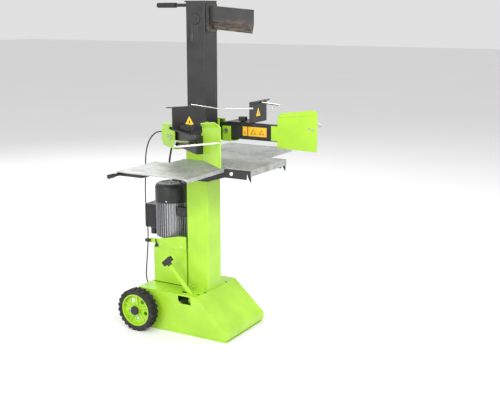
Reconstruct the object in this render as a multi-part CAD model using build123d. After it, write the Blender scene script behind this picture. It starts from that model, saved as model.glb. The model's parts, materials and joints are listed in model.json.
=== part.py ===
"""Vertical hydraulic log splitter with two-hand control, in millimetres.

+Z is up, the log side faces -Y, and the origin is on the floor under the column's axis.
"""
import os
from math import radians, tan

from build123d import *

os.makedirs("parts", exist_ok=True)

# Column and ram
COLUMN_W = 115.0
COLUMN_WALL = 4.0
COLUMN_TOP = 975.0
RAM_W = 100.0
RAM_WALL = 4.0
RAM_TOP = 1500.0
RAM_LENGTH = 730.0
RAM_STROKE = 480.0
PAD_GAP = 0.08
NOTCH_W = 82.0
NOTCH_LOW = 868.0
PLUG_Z = 1422.0
PLUG_NOTCH_LOW = 908.0

# Base
BASE_HALF_W = 170.0
BASE_TOP = 190.0
BASE_REAR = 262.0
BASE_SHEET = 3.0
BASE_FRONT_TOP = -66.0
BASE_FRONT_LOW = -225.0
BASE_NOSE_H = 45.0
FLOOR_THICK = 4.0
SIDE_LOW = 12.0

# Wheels
WHEEL_R = 100.0
WHEEL_W = 46.0
WHEEL_Y = 229.0
WHEEL_INNER_X = 197.0
AXLE_R = 8.0
RUN_GAP = 0.05

# Motor and tank
MOTOR_X = 18.0
MOTOR_Y = 190.0
MOTOR_R = 78.0
MOTOR_LOW = 412.0
CAP_LOW = 578.0
CAP_TOP = 668.0
TANK_NEAR = -60.0
TANK_FAR = 96.0
TANK_REAR = 249.0
TANK_TOP = 366.0
SHAFT_R = 9.0
VALVE_Z = 165.0

# Hydraulic cylinder inside the column
CYLINDER_R = 38.0
CYLINDER_BORE_R = 32.0
CYLINDER_LOW = 202.0
CYLINDER_TOP = 775.0
ROD_R = 16.0
PISTON_TOP = 735.0
PISTON_H = 36.0

# Table
TABLE_TOP = 800.0
TABLE_THICK = 4.0
TABLE_HALF_W = 460.0
TABLE_REAR = 137.0
WING_INNER = 180.0
WING_FRONT = -222.0
TONGUE_HALF_W = 160.0
TONGUE_FRONT = -345.0
RECESS_FRONT = 62.0
LIP_H = 28.0

# Control arms, laid out from each vertical hinge pin: "ahead" towards -Y, "out" away from the middle
PIN_X = 30.0
PIN_Y = 130.0
PIN_R = 8.0
NEAR_SWING = 36.0
ARM_LOW = 888.0
ARM_TOP = 962.0
ARM_IN = 50.0
ARM_OUT = 80.0
ARM_START = 150.0
ARM_END = 480.0
TILT_AHEAD = 212.0
TILT_Z = 925.0
TILT_R = 6.0
GUARD_END = 665.0
GUARD_LOW = 858.0
CARRIER_LOW = 876.0
CARRIER_TOP = 974.0
CLAW_TOP = 1060.0
CLAW_SHEET = 4.0
WIRE_R = 3.5
HOOP_R = 4.0


def save(shape, name):
    """Write one node as a compound of its separate solids."""
    solids = shape.solids() if hasattr(shape, "solids") else [s for part in shape for s in part.solids()]
    export_step(Compound(children=list(solids)), f"parts/{name}.step")


def block(x0, x1, y0, y1, z0, z1):
    return Pos((x0 + x1) / 2, (y0 + y1) / 2, (z0 + z1) / 2) * Box(x1 - x0, y1 - y0, z1 - z0)


def rod(start, end, radius):
    """A round bar from one point to another."""
    start = Vector(start)
    end = Vector(end)
    way = end - start
    plane = Plane(origin=start, z_dir=way.normalized())
    return extrude(plane * Circle(radius), way.length)


def side_plate(points, x0, x1):
    """A plate from an outline in the YZ plane, between two X values."""
    face = make_face(Plane.YZ * Polyline(*points, close=True))
    return Pos(x0, 0, 0) * extrude(face, x1 - x0, dir=(1, 0, 0))


def flat_plate(points, z0, z1):
    """A plate from an outline in the XY plane, between two heights."""
    face = make_face(Polyline(*points, close=True))
    return Pos(0, 0, z0) * extrude(face, z1 - z0, dir=(0, 0, 1))


def bent_rod(points, radius, bend):
    """A rod along straight runs with round bends."""
    line = FilletPolyline(*points, radius=bend)
    start = Plane(origin=line @ 0, z_dir=line % 0)
    return sweep(start * Circle(radius), path=line)


def hex_bolt(place, radius, head, length):
    """A bolt whose head stands on the local XY plane and whose shank goes down."""
    shank = Pos(0, 0, -length / 2) * Cylinder(radius, length)
    cap = extrude(RegularPolygon(head, 6), radius)
    return place * (cap + shank)


def dome_bolt(place, radius, head, length):
    shank = Pos(0, 0, -length / 2) * Cylinder(radius, length)
    cap = Pos(0, 0, head * 0.2) * Cylinder(head, head * 0.4)
    cap = fillet(cap.edges().filter_by(GeomType.CIRCLE).group_by(Axis.Z)[-1], head * 0.35)
    return place * (cap + shank)


# ---------------------------------------------------------------- base

def base_outline(inset):
    """The side outline of the base box, moved in by the sheet thickness."""
    slope = (BASE_TOP - BASE_NOSE_H) / (BASE_FRONT_TOP - BASE_FRONT_LOW)
    low = SIDE_LOW
    return [
        (BASE_REAR - inset, low),
        (BASE_REAR - inset, BASE_TOP - inset),
        (BASE_FRONT_TOP + inset * slope, BASE_TOP - inset),
        (BASE_FRONT_LOW + inset, BASE_NOSE_H - inset),
        (BASE_FRONT_LOW + inset, low),
    ]


LEVER_X = -128.0
LEVER_Y = -20.0
CABLE_HOLE_R = 8.0


def base_shell():
    outer = side_plate(base_outline(0.0), -BASE_HALF_W, BASE_HALF_W)
    inner = side_plate(base_outline(BASE_SHEET), -BASE_HALF_W + BASE_SHEET, BASE_HALF_W - BASE_SHEET)
    inner += block(
        -BASE_HALF_W + BASE_SHEET, BASE_HALF_W - BASE_SHEET,
        BASE_FRONT_LOW + BASE_SHEET, BASE_REAR - BASE_SHEET, 0, 30,
    )
    shell = outer - inner
    # hand windows in both sides, square at the top and rounded low at the rear
    window = block(-BASE_HALF_W - 5, BASE_HALF_W + 5, -32, 38, 147, 184)
    low_rear = window.edges().filter_by(Axis.X).group_by(Axis.Z)[0].sort_by(Axis.Y)[-1]
    shell -= fillet(low_rear, 24)
    # rear tabs that reach the floor beside the wheels
    for side in (-1, 1):
        x0 = min(side * BASE_HALF_W, side * (BASE_HALF_W - BASE_SHEET))
        shell += side_plate([(200, 20), (200, 0), (118, 0), (108, 12), (108, 20)], x0, x0 + BASE_SHEET)
    # axle holes, lever slot, cable hole and the opening under the column
    shell -= Pos(0, WHEEL_Y, WHEEL_R) * Rot(0, 90, 0) * Cylinder(AXLE_R + 4.0, 2 * BASE_HALF_W + 20)
    shell -= block(LEVER_X - 10.5, LEVER_X + 10.5, LEVER_Y - 34, LEVER_Y + 62, BASE_TOP - 20, BASE_TOP + 5)
    shell -= Pos(-70, BASE_REAR, 158) * Rot(90, 0, 0) * Cylinder(CABLE_HOLE_R, 20)
    shell += floor_plate()
    for piece in axle_blocks():
        shell += piece
    return shell + lever_bracket()


def floor_plate():
    edge = BASE_HALF_W - BASE_SHEET
    plate = block(-edge, edge, BASE_FRONT_LOW + 6, BASE_REAR - 8, 0, FLOOR_THICK)
    rail = side_plate([(BASE_REAR - 8, 4), (BASE_REAR - 8, 34), (BASE_FRONT_LOW + 6, 34),
                       (BASE_FRONT_LOW + 6, 4)], edge - 4, edge)
    return plate + rail + mirror(rail, about=Plane.YZ)


def axle_blocks():
    """Bushed blocks that hold the axle inside the base walls."""
    out = []
    for side in (-1, 1):
        x = side * (BASE_HALF_W - BASE_SHEET - 9)
        body = Pos(x, WHEEL_Y - 4, WHEEL_R) * Box(18, 48, 48)
        bore = Pos(x, WHEEL_Y, WHEEL_R) * Rot(0, 90, 0) * Cylinder(AXLE_R, 60)
        out.append(body - bore)
    return out


def axle():
    half = WHEEL_INNER_X + WHEEL_W + 2.0
    return Pos(0, WHEEL_Y, WHEEL_R) * Rot(0, 90, 0) * Cylinder(AXLE_R, 2 * half)


def wheel_place(side):
    x = side * (WHEEL_INNER_X + WHEEL_W / 2)
    return Pos(x, WHEEL_Y, WHEEL_R) * Rot(0, 90 * side, 0)


def tyre(side):
    """A solid tyre with two rows of tread blocks, its axis along local Z."""
    half = WHEEL_W / 2
    ring = Cylinder(WHEEL_R - 5, WHEEL_W) - Cylinder(76.0, WHEEL_W + 2)
    ring = fillet(ring.edges().filter_by(GeomType.CIRCLE).filter_by(
        lambda e: e.radius > 90), 4.0)
    tread = []
    for turn in range(0, 360, 15):
        for row in (-1, 1):
            angle = turn + (0 if row < 0 else 7.5)
            lug = Pos(WHEEL_R - 5.0, 0, row * half * 0.52) * Box(10.0, 15.0, half * 0.84)
            tread.append(Rot(0, 0, angle) * lug)
    ring += tread
    ring = ring & Cylinder(WHEEL_R, WHEEL_W + 10)
    return wheel_place(side) * ring


def rim(side):
    """A pressed rim: outer band, recessed web with spokes and a hub."""
    band = Cylinder(75.9, WHEEL_W - 4) - Cylinder(70.0, WHEEL_W)
    web = Cylinder(70.5, 5)
    hub = Cylinder(19.0, WHEEL_W - 2)
    body = band + web + hub
    for turn in range(0, 360, 72):
        spoke = Pos(44, 0, 4.5) * Box(54, 10, 9)
        body += Rot(0, 0, turn) * spoke
    for turn in range(36, 396, 72):
        body -= Rot(0, 0, turn) * (Pos(46, 0, 0) * Cylinder(10, 20))
    body -= Cylinder(AXLE_R + RUN_GAP, WHEEL_W + 20)
    return wheel_place(side) * body


def hub_caps(side):
    cap = Pos(0, 0, WHEEL_W / 2 + 4.5) * Cylinder(21.0, 11.0)
    cap = fillet(cap.edges().group_by(Axis.Z)[-1], 4.0)
    cap -= Pos(0, 0, WHEEL_W / 2 - 4) * Cylinder(AXLE_R + 1.0, 15)
    return wheel_place(side) * cap


# ---------------------------------------------------------------- column and ram

def column_tube():
    outer = block(-COLUMN_W / 2, COLUMN_W / 2, -COLUMN_W / 2, COLUMN_W / 2, BASE_TOP, COLUMN_TOP)
    outer = fillet(outer.edges().filter_by(Axis.Z), 7.0)
    hollow = COLUMN_W / 2 - COLUMN_WALL
    inner = block(-hollow, hollow, -hollow, hollow, BASE_TOP - 1, COLUMN_TOP + 1)
    inner = fillet(inner.edges().filter_by(Axis.Z), 3.0)
    tube = outer - inner
    # the wedge runs down into this notch at the end of its stroke
    tube -= block(-NOTCH_W / 2, NOTCH_W / 2, -COLUMN_W, -RAM_W / 2, NOTCH_LOW, COLUMN_TOP + 5)
    # the ram's side plug runs down into this one
    tube -= block(-COLUMN_W, -RAM_W / 2, -28, 28, PLUG_NOTCH_LOW, COLUMN_TOP + 5)
    half = COLUMN_W / 2
    foot = block(-half - 14, half + 14, -half - 5, half, BASE_TOP, BASE_TOP + 6)
    foot -= block(-hollow, hollow, -hollow, hollow, BASE_TOP - 1, BASE_TOP + 10)
    return tube + foot


def guide_pads():
    """Four thin slide pads between the column and the ram."""
    hollow = COLUMN_W / 2 - COLUMN_WALL
    slide = RAM_W / 2 + PAD_GAP
    pads = []
    for z0, z1 in ((800, 860), (905, 965)):
        pads.append(block(slide, hollow, -32, 32, z0, z1))
        pads.append(block(-32, 32, slide, hollow, z0, z1))
    pads.append(block(-32, 32, -hollow, -slide, 800, 860))
    pads.append(block(-hollow, -slide, -32, 32, 800, 860))
    pads.append(block(-hollow, -slide, 30, 43, 905, 965))
    pads.append(block(-hollow, -slide, -43, -30, 905, 965))
    return pads


def cylinder_barrel():
    low = CYLINDER_LOW
    barrel = Pos(0, 0, (low + CYLINDER_TOP) / 2) * Cylinder(CYLINDER_R, CYLINDER_TOP - low)
    bore = Pos(0, 0, (low + 12 + CYLINDER_TOP) / 2 + 5) * Cylinder(CYLINDER_BORE_R, CYLINDER_TOP - low - 2)
    barrel -= bore
    barrel += block(-50, 50, -50, 50, BASE_TOP, BASE_TOP + 6)
    barrel += block(-24, 24, -24, 24, BASE_TOP + 6, CYLINDER_LOW)
    gland = Pos(0, 0, CYLINDER_TOP - 11) * Cylinder(CYLINDER_R, 34)
    return barrel + (gland - Pos(0, 0, CYLINDER_TOP - 11) * Cylinder(ROD_R + RUN_GAP, 40))


def piston_rod():
    z1 = RAM_TOP - 12
    piston = Pos(0, 0, PISTON_TOP - PISTON_H / 2) * Cylinder(CYLINDER_BORE_R - RUN_GAP, PISTON_H)
    return piston + Pos(0, 0, (PISTON_TOP + z1) / 2) * Cylinder(ROD_R, z1 - PISTON_TOP)


def ram_tube():
    half = RAM_W / 2
    outer = block(-half, half, -half, half, RAM_TOP - RAM_LENGTH, RAM_TOP - 6)
    outer = fillet(outer.edges().filter_by(Axis.Z), 5.0)
    inner = block(-half + RAM_WALL, half - RAM_WALL, -half + RAM_WALL, half - RAM_WALL, 0, RAM_TOP)
    tube = outer - inner
    tube -= Pos(-half, 0, PLUG_Z) * Rot(0, 90, 0) * Cylinder(20, 20)
    # welded top plate with the rod's seat under it
    plate = block(-half, half, -half, half + 8, RAM_TOP - 6, RAM_TOP)
    plate = fillet(plate.edges().filter_by(Axis.Z), 4.0)
    return tube + plate + Pos(0, 0, RAM_TOP - 9) * Cylinder(22, 6)


def side_plug():
    """Domed plug in the ram's near face, over the rod's pin hole."""
    cap = Pos(0, 0, 3) * Cylinder(24.5, 6)
    cap = fillet(cap.edges().group_by(Axis.Z)[-1], 5.0)
    stem = Pos(0, 0, -4) * Cylinder(19.9, 8)
    return Pos(-RAM_W / 2, 0, PLUG_Z) * Rot(0, -90, 0) * (cap + stem)


WEDGE_HALF = 14.0
WEDGE_EDGE = 1.2
WEDGE_DROP = 0.085


def wedge():
    """The splitting wedge on its welded plate: a blunt block above and a two-sided taper below."""
    face = -RAM_W / 2
    root = face - 9
    tip = -258.0
    top = 1478.0
    shoulder = 1414.0
    edge = 1378.0
    fall = (root - tip) * WEDGE_DROP
    body = side_plate([(root, top), (tip, top - fall), (tip, shoulder - fall), (root, shoulder)],
                      -WEDGE_HALF, WEDGE_HALF)
    ends = []
    for y, drop in ((root, 0.0), (tip, fall)):
        outline = [(-WEDGE_HALF, y, shoulder - drop), (WEDGE_HALF, y, shoulder - drop),
                   (WEDGE_EDGE, y, edge - drop), (-WEDGE_EDGE, y, edge - drop)]
        ends.append(make_face(Polyline(*outline, close=True)))
    plate = block(-36, 36, root, face, edge - 10, top + 8)
    return body + loft(ends) + plate


def transport_handle():
    """A straight handle with a fat grip on the back of the ram's top."""
    z = RAM_TOP - 19
    handle = rod((0, RAM_W / 2, z), (0, 66, z), 12.0) + rod((0, 60, z), (0, 150, z), 7.5)
    handle += rod((0, 134, z), (0, 236, z), 11.5)
    return fillet(handle.edges().group_by(Axis.Y)[-1], 5.0)


# ---------------------------------------------------------------- motor, tank and hydraulics

def tank_shell():
    outer = block(TANK_NEAR, TANK_FAR, COLUMN_W / 2 + 5, TANK_REAR, BASE_TOP, TANK_TOP)
    outer = fillet(outer.edges().filter_by(Axis.Z), 5.0)
    inner = block(TANK_NEAR + 4, TANK_FAR - 4, COLUMN_W / 2 + 9, TANK_REAR - 4,
                  BASE_TOP + 4, TANK_TOP - 5)
    shell = outer - inner
    shell -= Pos(MOTOR_X, MOTOR_Y, TANK_TOP) * Cylinder(34, 30)
    return shell


def motor_mount():
    """Sheet collar on the tank whose sides rise towards the column, with a plate for the motor."""
    y0 = COLUMN_W / 2 + 2
    y1 = 236.0
    side = [(y0, TANK_TOP), (y0, 432), (y0 + 38, 430), (y1 - 18, 404), (y1, 402), (y1, TANK_TOP)]
    wall = side_plate(side, TANK_NEAR - 3, TANK_NEAR) + side_plate(side, TANK_FAR, TANK_FAR + 3)
    plate = block(TANK_NEAR, TANK_FAR, y0, y1, TANK_TOP, TANK_TOP + 6)
    rise = Pos(MOTOR_X, MOTOR_Y, (TANK_TOP + MOTOR_LOW - 8) / 2 + 1) * Cylinder(52, MOTOR_LOW - 8 - TANK_TOP - 2)
    rise -= Pos(MOTOR_X, MOTOR_Y, 390) * Cylinder(40, 80)
    top = Pos(MOTOR_X, MOTOR_Y, MOTOR_LOW - 6) * Cylinder(57, 8)
    body = plate + rise + top
    body -= Pos(MOTOR_X, MOTOR_Y, 390) * Cylinder(26, 100)
    ear = block(TANK_NEAR - 3, TANK_NEAR, y1 - 1, y1 + 30, 380, 402)
    return wall + body + ear


def motor_barrel():
    """The stator housing with long cooling ribs."""
    low = MOTOR_LOW - 2
    height = CAP_LOW - low
    mid = Pos(MOTOR_X, MOTOR_Y, low + height / 2)
    body = Cylinder(MOTOR_R - 9, height)
    ribs = []
    for turn in range(0, 360, 9):
        ribs.append(Rot(0, 0, turn) * (Pos(MOTOR_R - 6, 0, 0) * Box(11, 2.6, height)))
    body += ribs
    body -= Pos(0, 0, 4) * Cylinder(MOTOR_R - 20, height)
    body -= Cylinder(SHAFT_R + RUN_GAP, height + 2)
    return mid * body


def fan_cover():
    height = CAP_TOP - CAP_LOW
    mid = Pos(MOTOR_X, MOTOR_Y, CAP_LOW + height / 2)
    cup = Cylinder(MOTOR_R + 2, height)
    cup = fillet(cup.edges().group_by(Axis.Z)[-1], 26.0)
    hollow = Pos(0, 0, -4) * Cylinder(MOTOR_R - 2, height - 4)
    hollow = fillet(hollow.edges().group_by(Axis.Z)[-1], 24.0)
    cup -= hollow
    for turn in range(0, 360, 30):
        cup -= Rot(0, 0, turn) * (Pos(34, 0, height / 2) * Box(30, 5, 20))
    return mid * cup


def motor_rotor():
    shaft = Pos(MOTOR_X, MOTOR_Y, 500) * Cylinder(SHAFT_R, 270)
    core = Pos(MOTOR_X, MOTOR_Y, 496) * Cylinder(52, 110)
    coupling = Pos(MOTOR_X, MOTOR_Y, 359) * Cylinder(12.5, 12)
    return shaft + core + coupling


def cooling_fan():
    hub = Cylinder(20, 16) - Cylinder(SHAFT_R, 20)
    blades = []
    for turn in range(0, 360, 45):
        blades.append(Rot(0, 0, turn) * (Pos(40, 0, 0) * Rot(20, 0, 0) * Box(50, 3, 20)))
    return Pos(MOTOR_X, MOTOR_Y, 606) * (hub + blades)


def pump_body():
    """Gear pump hung under the motor inside the tank."""
    body = Pos(MOTOR_X, MOTOR_Y, 324) * Box(62, 56, 72)
    body += Pos(MOTOR_X, MOTOR_Y, TANK_TOP - 4) * Cylinder(33, 8)
    return body - Pos(MOTOR_X, MOTOR_Y, 362) * Cylinder(13, 40)


def valve_block():
    body = block(-40, 10, 88, 132, BASE_TOP - BASE_SHEET - 40, BASE_TOP - BASE_SHEET)
    return body - Pos(-15, 110, VALVE_Z) * Rot(0, 90, 0) * Cylinder(8, 80)


def valve_spool():
    return Pos(-15, 110, VALVE_Z) * Rot(0, 90, 0) * Cylinder(8 - RUN_GAP, 78)


def oil_plug():
    neck = Pos(MOTOR_X, TANK_REAR, 330) * Rot(-90, 0, 0)
    return neck * (Pos(0, 0, 5) * Cylinder(13, 10) + Pos(0, 0, 10) * extrude(RegularPolygon(9, 6), 9))


# ---------------------------------------------------------------- electrics behind the motor

SWITCH_Y = MOTOR_Y + MOTOR_R
BUTTON_Z = 512.0
BUTTON_X = 17.0


def switch_box():
    body = block(MOTOR_X - 42, MOTOR_X + 42, SWITCH_Y - 12, SWITCH_Y + 52, 440, 556)
    body = fillet(body.edges().filter_by(Axis.Y), 8.0)
    body -= Pos(MOTOR_X, MOTOR_Y, 500) * Cylinder(MOTOR_R - 0.4, 300)
    body -= block(MOTOR_X - 37, MOTOR_X + 37, SWITCH_Y + 4, SWITCH_Y + 47, 445, 551)
    for x in (-BUTTON_X, BUTTON_X):
        body -= Pos(MOTOR_X + x, SWITCH_Y + 50, BUTTON_Z) * Rot(90, 0, 0) * Cylinder(12, 20)
    # recessed mains inlet on the underside
    inlet = Pos(MOTOR_X, SWITCH_Y + 26, 422) * Cylinder(20, 36)
    return body + inlet - Pos(MOTOR_X, SWITCH_Y + 26, 416) * Cylinder(16.5, 34)


def push_button(x):
    x += MOTOR_X
    return rod((x, SWITCH_Y + 26, BUTTON_Z), (x, SWITCH_Y + 57, BUTTON_Z), 11.6)


# ---------------------------------------------------------------- table

def table_centre():
    outline = [
        (-TONGUE_HALF_W, TONGUE_FRONT), (TONGUE_HALF_W, TONGUE_FRONT), (TONGUE_HALF_W, WING_FRONT),
        (WING_INNER, WING_FRONT), (WING_INNER, RECESS_FRONT), (61, RECESS_FRONT), (61, -61), (-61, -61),
        (-61, RECESS_FRONT), (-WING_INNER, RECESS_FRONT), (-WING_INNER, WING_FRONT),
        (-TONGUE_HALF_W, WING_FRONT),
    ]
    plate = flat_plate(outline, TABLE_TOP - TABLE_THICK, TABLE_TOP)
    low = TABLE_TOP - LIP_H
    front = block(-TONGUE_HALF_W, TONGUE_HALF_W, TONGUE_FRONT, TONGUE_FRONT + 4, low, TABLE_TOP)
    return plate + front


def table_wings():
    return [table_wing(-1), table_wing(1)]


def table_wing(side):
    x0, x1 = sorted((side * (WING_INNER + 0.5), side * TABLE_HALF_W))
    plate = block(x0, x1, WING_FRONT, TABLE_REAR, TABLE_TOP - TABLE_THICK, TABLE_TOP)
    lip = block(x0, x1, WING_FRONT, WING_FRONT + 4, TABLE_TOP - 16, TABLE_TOP)
    return plate + lip


def table_frame():
    """Black carrier: a sleeve on the column, gussets under the tongue and bars under the wings."""
    under = TABLE_TOP - TABLE_THICK
    half = COLUMN_W / 2 + 0.5
    sleeve = block(-half - 8, half + 8, -half - 8, half + 4, 706, under)
    sleeve -= block(-half, half, -half, half, 700, under + 1)
    frame = sleeve
    for x in (-half - 8, half + 2):
        frame += side_plate([(-half - 2, 706), (-half - 2, under), (-300, under), (-300, 770), (-190, 745)],
                            x, x + 6)
    for y in (-140, 20):
        frame += block(-TABLE_HALF_W + 30, -half - 4, y - 10, y + 10, under - 16, under)
        frame += block(half + 4, TABLE_HALF_W - 30, y - 10, y + 10, under - 16, under)
    for side in (-1, 1):
        x0, x1 = sorted((side * (TONGUE_HALF_W - 6), side * TONGUE_HALF_W))
        frame += block(x0, x1, -320, -205, under - 40, under)
        frame += side_plate([(-318, under), (-341, under), (-341, under - 50), (-332, under - 36)], x0, x1)
        x0, x1 = sorted((side * 60, side * TONGUE_HALF_W))
        frame += block(x0, x1, -216, -205, under - 30, under)
    for x in (-430, -210, 210, 430):
        frame += block(x - 8, x + 8, 20, TABLE_REAR - 1, under - 18, under)
    return frame - support_bar_space()


BAR_Y = TABLE_REAR - 9
BAR_Z = TABLE_TOP - TABLE_THICK - 8


def support_bar_space():
    return rod((-520, BAR_Y, BAR_Z), (520, BAR_Y, BAR_Z), 7.0)


def support_bars():
    """Round bars under the wings' rear edges; the near one sticks out as a capped carrying stub."""
    near = rod((-519, BAR_Y, BAR_Z), (-190, BAR_Y, BAR_Z), 7.0)
    near += rod((-521, BAR_Y, BAR_Z), (-488, BAR_Y, BAR_Z), 9.5)
    far = rod((190, BAR_Y, BAR_Z), (TABLE_HALF_W - 8, BAR_Y, BAR_Z), 7.0)
    return [near, far]


def panel_bolts():
    """Small bolts of the foot flange, the motor mount and the table's side flanges."""
    out = []
    for side in (-1, 1):
        for y in (-42, 42):
            place = Pos(side * (COLUMN_W / 2 + 7.6), y, BASE_TOP + 6)
            out.append(hex_bolt(place, 3.0, 5.4, 4))
        for y in (86, 210):
            x = TANK_NEAR - 3 if side < 0 else TANK_FAR + 3
            place = Pos(x, y, TANK_TOP + 14) * Rot(0, 90 * side, 0)
            out.append(dome_bolt(place, 3.0, 5.0, 3))
        place = Pos(side * TONGUE_HALF_W, -246, TABLE_TOP - 24) * Rot(0, 90 * side, 0)
        out.append(dome_bolt(place, 5.0, 9.5, 5.9))
    return out


def bolted(shape):
    """Cut the bolts' shanks out of a piece that they go through."""
    for bolt in panel_bolts():
        shape = shape - bolt
    return shape


# ---------------------------------------------------------------- two-hand control

def near_side(shape):
    """Mirror a far-side piece and swing it out about the near hinge pin."""
    flipped = mirror(shape, about=Plane.YZ)
    return Pos(-PIN_X, PIN_Y, 0) * Rot(0, 0, -NEAR_SWING) * Pos(PIN_X, -PIN_Y, 0) * flipped


def ax(out):
    return PIN_X + out


def ay(ahead):
    return PIN_Y - ahead


def arm_block(out0, out1, ahead0, ahead1, z0, z1):
    return block(ax(out0), ax(out1), ay(ahead1), ay(ahead0), z0, z1)


def arm_yoke():
    """Two plates behind the column that hold the arms' hinge pins."""
    y0 = COLUMN_W / 2
    outline = [(-COLUMN_W / 2, y0), (COLUMN_W / 2, y0), (50, PIN_Y + 8), (38, PIN_Y + 18), (-38, PIN_Y + 18),
               (-50, PIN_Y + 8)]
    yoke = flat_plate(outline, 878, 886) + flat_plate(outline, 958, 966)
    yoke += block(-5, 5, y0, PIN_Y + 12, 884, 960)
    for side in (-1, 1):
        yoke -= Pos(side * PIN_X, PIN_Y, 920) * Cylinder(PIN_R, 200)
    # bracket for the cable glands
    yoke += block(-64, -20, PIN_Y + 8, PIN_Y + 18, 870, 886)
    yoke -= Pos(-30, PIN_Y, 870) * Cylinder(PIN_R, 40)
    return yoke


def hinge_pins():
    out = []
    for side in (-1, 1):
        pin = Pos(side * PIN_X, PIN_Y, 922) * Cylinder(PIN_R, 100)
        out.append(pin + Pos(side * PIN_X, PIN_Y, 974) * Cylinder(13, 8))
    return out


def carrier():
    """Swinging bracket: a boss on the pin, a link round the column's corner and an outer channel."""
    low = 886.4
    high = 957.6
    boss = Pos(ax(0), ay(0), (low + high) / 2) * Cylinder(16, high - low)
    link = flat_plate([(ax(-11), ay(11)), (ax(11), ay(-11)), (ax(92), ay(76)), (ax(92), ay(112))],
                      low + 10, high - 10)
    web = arm_block(88, 92, 92, 176, CARRIER_LOW, CARRIER_TOP)
    web += arm_block(88, 92, 176, 250, CARRIER_LOW, 954)
    top = arm_block(70, 92, 92, 176, CARRIER_TOP - 4, CARRIER_TOP)
    low_lip = arm_block(52, 92, 92, 250, CARRIER_LOW, CARRIER_LOW + 4)
    rear = arm_block(68, 92, 92, 96, CARRIER_LOW, CARRIER_TOP)
    body = boss + link + web + top + low_lip + rear
    body -= Pos(ax(0), ay(0), 920) * Cylinder(PIN_R + RUN_GAP, 200)
    body -= rod((ax(40), ay(TILT_AHEAD), TILT_Z), (ax(120), ay(TILT_AHEAD), TILT_Z), TILT_R)
    inner_ear = arm_block(42, 46, TILT_AHEAD - 22, TILT_AHEAD + 22, CARRIER_LOW, TILT_Z + 20)
    foot = arm_block(42, 56, TILT_AHEAD - 22, TILT_AHEAD + 22, CARRIER_LOW, CARRIER_LOW + 4)
    ear = inner_ear + foot
    ear -= rod((ax(30), ay(TILT_AHEAD), TILT_Z), (ax(60), ay(TILT_AHEAD), TILT_Z), TILT_R)
    return body + ear


def tilt_bolt():
    """Horizontal bolt through the carrier's channel that the arm rocks on."""
    shank = rod((ax(42), ay(TILT_AHEAD), TILT_Z), (ax(92), ay(TILT_AHEAD), TILT_Z), TILT_R)
    head = rod((ax(36), ay(TILT_AHEAD), TILT_Z), (ax(42), ay(TILT_AHEAD), TILT_Z), 11)
    nut = rod((ax(92), ay(TILT_AHEAD), TILT_Z), (ax(101), ay(TILT_AHEAD), TILT_Z), 10.5)
    stop = rod((ax(92), ay(168), TILT_Z), (ax(97), ay(168), TILT_Z), 6.5)
    return [shank + head + nut, stop]


def arm():
    """Flat box arm with a bushed cross hole."""
    body = arm_block(ARM_IN, ARM_OUT, ARM_START, ARM_END, ARM_LOW, ARM_TOP)
    body = fillet(body.edges().filter_by(Axis.Y), 3.0)
    body -= arm_block(ARM_IN + 3, ARM_OUT - 3, ARM_START - 5, ARM_END - 4, ARM_LOW + 3, ARM_TOP - 3)
    sleeve = rod((ax(ARM_IN), ay(TILT_AHEAD), TILT_Z), (ax(ARM_OUT), ay(TILT_AHEAD), TILT_Z), 12)
    body += sleeve
    body -= rod((ax(30), ay(TILT_AHEAD), TILT_Z), (ax(100), ay(TILT_AHEAD), TILT_Z), TILT_R + RUN_GAP)
    return body


LIP_LEAN = 35.0


def guard():
    """Hand guard plate on the arm's inner side, its top lip bent outwards along a rising crease."""
    a0, a1 = 472.0, GUARD_END
    z_rear, z_front = 996.0, 1018.0
    face = [(ay(a0), GUARD_LOW + 4), (ay(a1), GUARD_LOW), (ay(a1), z_front), (ay(a0), z_rear)]
    plate = side_plate(face, ax(ARM_IN - 3), ax(ARM_IN))
    plate += arm_block(ARM_IN - 3, ARM_IN, 440, a0 + 2, ARM_LOW + 4, ARM_TOP - 4)
    lip_face = [(ay(a0), z_rear), (ay(a1), z_front), (ay(a1 - 4), z_front + 12), (ay(a1 - 26), z_front + 24),
                (ay(a0 + 8), z_rear + 22)]
    lip = side_plate(lip_face, ax(ARM_IN - 3), ax(ARM_IN))
    crease = Axis((ax(ARM_IN - 1.5), ay(a0), z_rear), (0, ay(a1) - ay(a0), z_front - z_rear))
    lip = lip.rotate(crease, -LIP_LEAN)
    return plate + lip


HOOP_POINTS = [(ARM_OUT - 6, 460, 933), (205, 588, 966), (220, 604, 946), (ARM_IN - 6, 648, 957)]
HOOP_BEND = 10.0


def hoop():
    """Bright rod loop round the hand, from the arm's end to the guard plate, with two screw heads."""
    points = [(ax(out), ay(ahead), z) for out, ahead, z in HOOP_POINTS]
    line = FilletPolyline(*points, radius=HOOP_BEND)
    rod_loop = sweep(Plane(origin=line @ 0, z_dir=line % 0) * Circle(HOOP_R), path=line)
    rod_loop -= arm_block(ARM_IN - 20, ARM_OUT, 440, ARM_END, 900, 980)
    rod_loop -= arm_block(ARM_IN - 20, ARM_IN, ARM_END, 680, 900, 980)
    heads = []
    for ahead in (628, 647):
        heads.append(rod((ax(ARM_IN - 7), ay(ahead), 957), (ax(ARM_IN - 3), ay(ahead), 957), 5.5))
    return [rod_loop] + heads


def grip():
    """Dark rubber grip over the loop's rear leg, next to the arm."""
    start, tip = [Vector(ax(out), ay(ahead), z) for out, ahead, z in HOOP_POINTS[:2]]
    way = (tip - start).normalized()
    sleeve = rod(start + way * 8, start + way * 54, 13.0) + rod(start + way * 50, start + way * 66, 8.0)
    sleeve -= rod(start, start + way * 90, HOOP_R)
    return sleeve - arm_block(ARM_IN - 20, ARM_OUT, 440, ARM_END, 900, 980)


# ---------------------------------------------------------------- log claws

SLOT_REACH = 47.0
STUD_R = 4.0
FLANGE_Z = ARM_TOP + 0.3


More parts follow.
